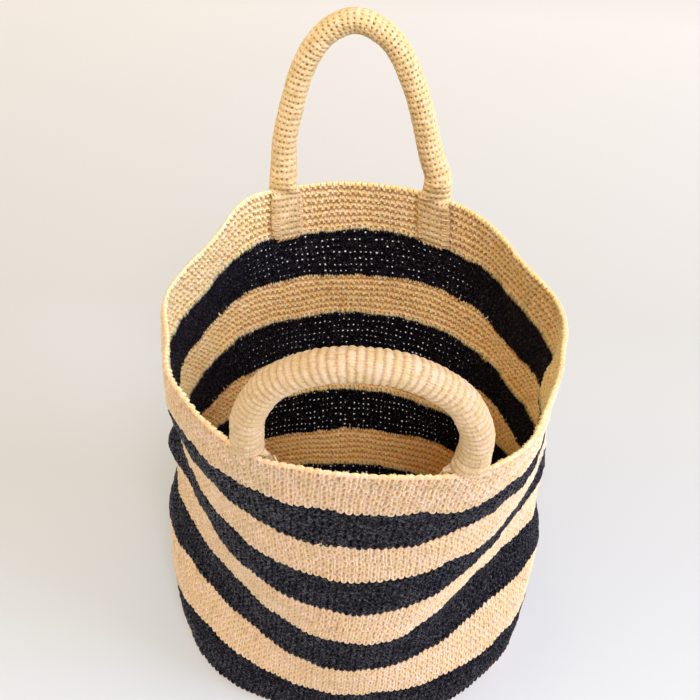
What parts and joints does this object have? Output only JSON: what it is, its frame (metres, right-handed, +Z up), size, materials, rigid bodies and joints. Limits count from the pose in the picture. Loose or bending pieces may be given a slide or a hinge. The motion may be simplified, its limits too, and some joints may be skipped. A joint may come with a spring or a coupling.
{
  "type": "basket bag",
  "caption": "Striped crocheted raffia basket bag, open at the top, with two stuffed tubular handles sewn inside the rim.",
  "frame": {"origin": "middle of the base's underside, on the ground", "axes": "+Z up from the base to the mouth, +X to the wearer's right across both handles, +Y from the front handle to the back handle"},
  "size_m": [0.3474, 0.3604, 0.5345],
  "materials": {
    "natural_raffia": "crocheted natural raffia, dry and slightly glossy",
    "black_raffia": "crocheted black dyed raffia, slight sheen",
    "sewing_thread": "twisted raffia thread, matte",
    "rope_fibre": "laid plant-fibre rope, matte"
  },
  "bodies": {
    "bag": {"base_disc": "natural_raffia", "heel_band": "natural_raffia", "black_band_4": "black_raffia", "natural_band_4": "natural_raffia", "black_band_3": "black_raffia", "natural_band_3": "natural_raffia", "black_band_2": "black_raffia", "natural_band_2": "natural_raffia", "black_band_1": "black_raffia", "rim_band": "natural_raffia", "back_left_foot": "natural_raffia", "back_right_foot": "natural_raffia", "front_left_foot": "natural_raffia", "front_right_foot": "natural_raffia", "back_left_seam": "sewing_thread", "back_right_seam": "sewing_thread", "front_left_seam": "sewing_thread", "front_right_seam": "sewing_thread"},
    "back_handle": {"back_handle_sleeve": "natural_raffia", "back_handle_rope": "rope_fibre"},
    "front_handle": {"front_handle_sleeve": "natural_raffia", "front_handle_rope": "rope_fibre"}
  },
  "joints": [
    {"name": "back_handle_fold", "type": "hinge", "parent": "bag", "child": "back_handle", "pos_m": [-0.0105, 0.14585, 0.39695], "axis": [-1, 0, 0], "range_deg": [-65, 100]},
    {"name": "front_handle_fold", "type": "hinge", "parent": "bag", "child": "front_handle", "pos_m": [0.003, -0.15274, 0.38961], "axis": [1, 0, 0], "range_deg": [-80, 85]}
  ]
}
